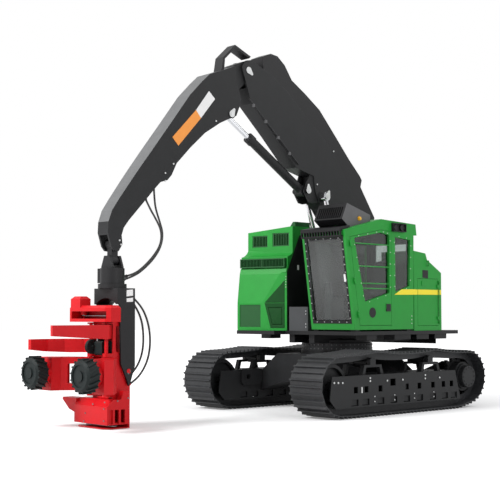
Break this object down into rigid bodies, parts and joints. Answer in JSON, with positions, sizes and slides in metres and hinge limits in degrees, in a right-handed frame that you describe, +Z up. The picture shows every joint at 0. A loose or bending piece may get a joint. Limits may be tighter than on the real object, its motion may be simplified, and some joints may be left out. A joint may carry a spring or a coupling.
{
  "type": "forestry harvester",
  "caption": "Tracked forestry harvester: turning upper structure with guarded cab, boom, stick and a hanging harvesting head with feed rollers, delimbing knives and saws.",
  "frame": {"origin": "bottom centre of the whole machine's bounding box at rest, on the ground", "axes": "+Z up, -Y towards the head at the front, +X towards the cab side, the machine's left"},
  "size_m": [3.628, 9.44, 6.715],
  "materials": {
    "black_paint": "satin",
    "charcoal_paint": "satin",
    "dark_green_paint": "satin",
    "green_paint": "satin",
    "grey_plastic": "matte",
    "hose_rubber": "matte",
    "lamp_amber": "gloss",
    "red_paint": "satin",
    "rod_chrome": "polished",
    "saw_steel": "brushed",
    "seat_fabric": "matte",
    "window_glass": "clear",
    "worn_steel": "matte"
  },
  "bodies": {
    "undercarriage": {"car_body": "charcoal_paint", "slew_ring": "worn_steel", "track_frame_left": "charcoal_paint", "track_frame_right": "charcoal_paint", "track_rollers_left": "charcoal_paint", "track_rollers_right": "charcoal_paint", "final_drive_left": "charcoal_paint", "final_drive_right": "charcoal_paint", "track_left": "worn_steel", "track_right": "worn_steel"},
    "upper_structure": {"deck": "black_paint", "boom_mount": "charcoal_paint", "counterweight": "charcoal_paint", "engine_hood": "green_paint", "engine_block": "worn_steel", "right_body": "green_paint", "right_grilles": "dark_green_paint", "upper_box": "green_paint", "upper_meshes": "black_paint", "left_body": "green_paint", "front_box": "grey_plastic", "exhaust": "black_paint", "cab_shell": "green_paint", "cab_glass": "window_glass", "front_guard": "black_paint", "skylight_guard": "black_paint", "seat": "seat_fabric", "console": "grey_plastic", "cab_lamps": "black_paint", "amber_lamp": "lamp_amber"},
    "cab_door": {"cab_door": "green_paint", "door_glass": "window_glass"},
    "service_door": {"service_door": "green_paint"},
    "boom": {"boom": "charcoal_paint", "boom_guard": "black_paint"},
    "lift_barrels": {"lift_barrels": "charcoal_paint"},
    "lift_rods": {"lift_rods": "rod_chrome"},
    "stick": {"stick": "charcoal_paint", "stick_guard": "black_paint", "hose_upper_1": "hose_rubber", "hose_upper_2": "hose_rubber"},
    "stick_barrel": {"stick_barrel": "charcoal_paint"},
    "stick_rod": {"stick_rod": "rod_chrome"},
    "hanger_link": {"hanger_link": "black_paint"},
    "rotator": {"rotator": "black_paint"},
    "yoke": {"yoke": "black_paint", "hose_lower_1": "hose_rubber", "hose_lower_2": "hose_rubber"},
    "head": {"head_frame": "red_paint", "top_saw_hood": "red_paint", "saw_box": "red_paint", "back_roller": "worn_steel"},
    "knife_left": {"knife_left": "red_paint"},
    "knife_right": {"knife_right": "red_paint"},
    "feed_arm_left": {"feed_arm_left": "red_paint"},
    "feed_arm_right": {"feed_arm_right": "red_paint"},
    "feed_roller_left": {"feed_roller_left": "worn_steel"},
    "feed_roller_right": {"feed_roller_right": "worn_steel"},
    "main_saw_bar": {"main_saw_bar": "saw_steel"},
    "top_saw_bar": {"top_saw_bar": "saw_steel"}
  },
  "joints": [
    {"name": "swing", "type": "hinge", "parent": "undercarriage", "child": "upper_structure", "pos_m": [0, 2.265, 1.27], "axis": [0, 0, 1], "continuous": true},
    {"name": "cab_door_hinge", "type": "hinge", "parent": "upper_structure", "child": "cab_door", "pos_m": [1.444, 1.16648, 2.4], "axis": [0, 0.1634, -0.9866], "range_deg": [0, 85]},
    {"name": "service_door_hinge", "type": "hinge", "parent": "upper_structure", "child": "service_door", "pos_m": [1.418, 3.701, 2.05], "axis": [0, 0, 1], "range_deg": [0, 100]},
    {"name": "boom_foot", "type": "hinge", "parent": "upper_structure", "child": "boom", "pos_m": [0, 3.115, 2.1], "axis": [1, 0, 0], "range_deg": [-15, 30]},
    {"name": "lift_barrel_base", "type": "hinge", "parent": "upper_structure", "child": "lift_barrels", "pos_m": [0, 2.475, 1.8], "axis": [1, 0, 0], "range_deg": [-14.61, 29.2]},
    {"name": "lift_rod_slide", "type": "slide", "parent": "lift_barrels", "child": "lift_rods", "axis": [0, -0.3365, 0.9417], "range_m": [-0.3694, 0.1852]},
    {"name": "stick_pin", "type": "hinge", "parent": "boom", "child": "stick", "pos_m": [0, -0.285, 6.28], "axis": [1, 0, 0], "range_deg": [-60, 15]},
    {"name": "stick_barrel_base", "type": "hinge", "parent": "boom", "child": "stick_barrel", "pos_m": [0, 1.265, 4.19], "axis": [1, 0, 0], "range_deg": [-3, 3]},
    {"name": "stick_rod_slide", "type": "slide", "parent": "stick_barrel", "child": "stick_rod", "axis": [0, -0.8488, 0.5286], "range_m": [-0.2509, 1.0007]},
    {"name": "hanger_pin", "type": "hinge", "parent": "stick", "child": "hanger_link", "pos_m": [0, -3.205, 2.97], "axis": [1, 0, 0], "range_deg": [-20, 20], "deforming": ["hose_upper_1", "hose_upper_2"]},
    {"name": "rotator_cross_pin", "type": "hinge", "parent": "hanger_link", "child": "rotator", "pos_m": [0, -3.205, 2.7], "axis": [0, 1, 0], "range_deg": [-15, 15]},
    {"name": "head_turn", "type": "hinge", "parent": "rotator", "child": "yoke", "pos_m": [0, -3.205, 2.318], "axis": [0, 0, 1], "continuous": true},
    {"name": "head_tilt", "type": "hinge", "parent": "yoke", "child": "head", "pos_m": [0, -3.103, 0.905], "axis": [1, 0, 0], "range_deg": [0, 90], "deforming": ["hose_lower_1", "hose_lower_2"]},
    {"name": "knife_pin_left", "type": "hinge", "parent": "head", "child": "knife_left", "pos_m": [0.21, -3.47, 1.3], "axis": [0, 0, 1], "range_deg": [-18, 20]},
    {"name": "feed_arm_pin_left", "type": "hinge", "parent": "head", "child": "feed_arm_left", "pos_m": [0.21, -3.47, 1.3], "axis": [0, 0, 1], "range_deg": [-12, 18]},
    {"name": "feed_roller_spin_left", "type": "hinge", "parent": "feed_arm_left", "child": "feed_roller_left", "pos_m": [0.7, -4.215, 0.88], "axis": [0, 1, 0], "continuous": true},
    {"name": "knife_pin_right", "type": "hinge", "parent": "head", "child": "knife_right", "pos_m": [-0.21, -3.47, 1.3], "axis": [0, 0, -1], "range_deg": [-18, 20]},
    {"name": "feed_arm_pin_right", "type": "hinge", "parent": "head", "child": "feed_arm_right", "pos_m": [-0.21, -3.47, 1.3], "axis": [0, 0, -1], "range_deg": [-12, 18]},
    {"name": "feed_roller_spin_right", "type": "hinge", "parent": "feed_arm_right", "child": "feed_roller_right", "pos_m": [-0.7, -4.215, 0.88], "axis": [0, 1, 0], "continuous": true},
    {"name": "main_saw_pin", "type": "hinge", "parent": "head", "child": "main_saw_bar", "pos_m": [-0.33, -3.395, 0.05], "axis": [0, 0, -1], "range_deg": [0, 80]},
    {"name": "top_saw_pin", "type": "hinge", "parent": "head", "child": "top_saw_bar", "pos_m": [-0.37, -3.495, 1.798], "axis": [0, 0, -1], "range_deg": [0, 70]}
  ],
  "couplings": [
    {"joint": "lift_barrel_base", "follows": "boom_foot", "ratio": 0.9724},
    {"joint": "lift_rod_slide", "follows": "boom_foot", "m_per_rad": -0.7036},
    {"joint": "stick_barrel_base", "follows": "stick_pin", "ratio": -0.0403},
    {"joint": "stick_rod_slide", "follows": "stick_pin", "m_per_rad": -0.9547}
  ]
}
